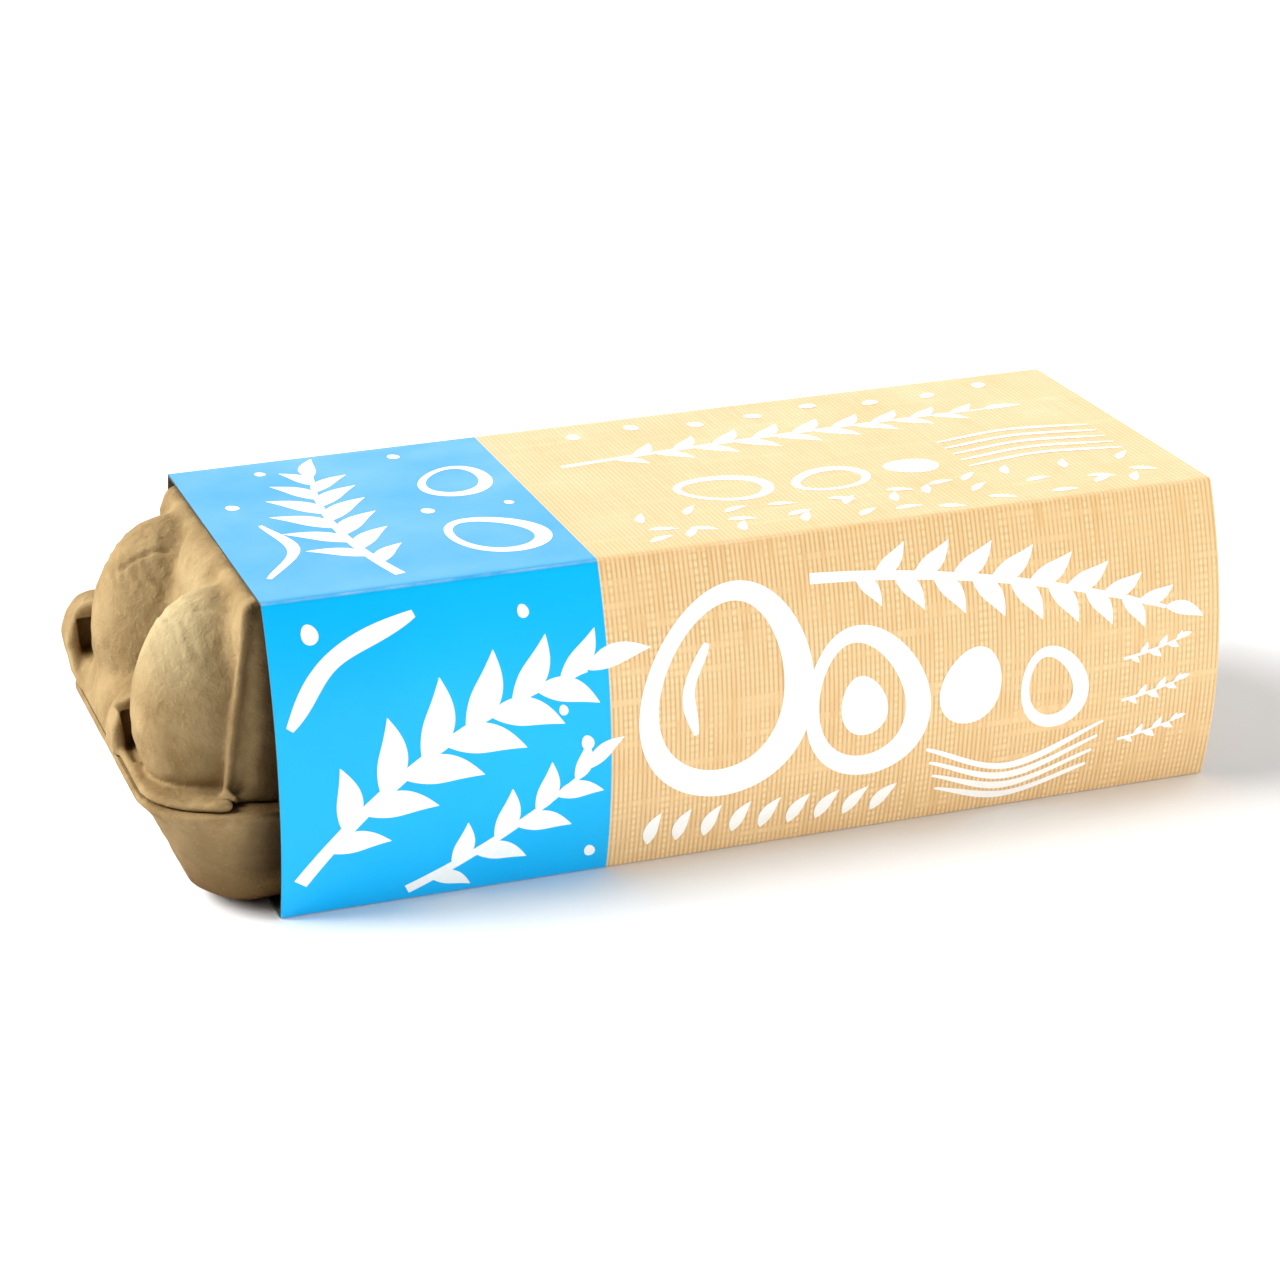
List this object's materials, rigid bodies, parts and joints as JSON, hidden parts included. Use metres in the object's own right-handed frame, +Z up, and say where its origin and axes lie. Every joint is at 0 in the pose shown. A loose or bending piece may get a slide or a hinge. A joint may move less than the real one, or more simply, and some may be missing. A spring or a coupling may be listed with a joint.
{
  "type": "sleeved egg carton",
  "caption": "Shut egg carton of moulded pulp with egg-shaped end domes and a rimmed tray, held in a bowed, printed board sleeve.",
  "frame": {"origin": "bottom centre of the pack's box, on the surface that the sleeve's bottom panel stands on", "axes": "+X along the pack's length, away from the end that sticks out further; +Y towards the back; +Z up"},
  "size_m": [0.2472, 0.105, 0.07],
  "materials": {
    "sleeve_board": "printed matt board",
    "lid_pulp": "rough moulded pulp",
    "tray_pulp": "rough moulded pulp"
  },
  "bodies": {
    "root": {"sleeve": "sleeve_board", "lid": "lid_pulp", "tray": "tray_pulp"}
  },
  "joints": []
}
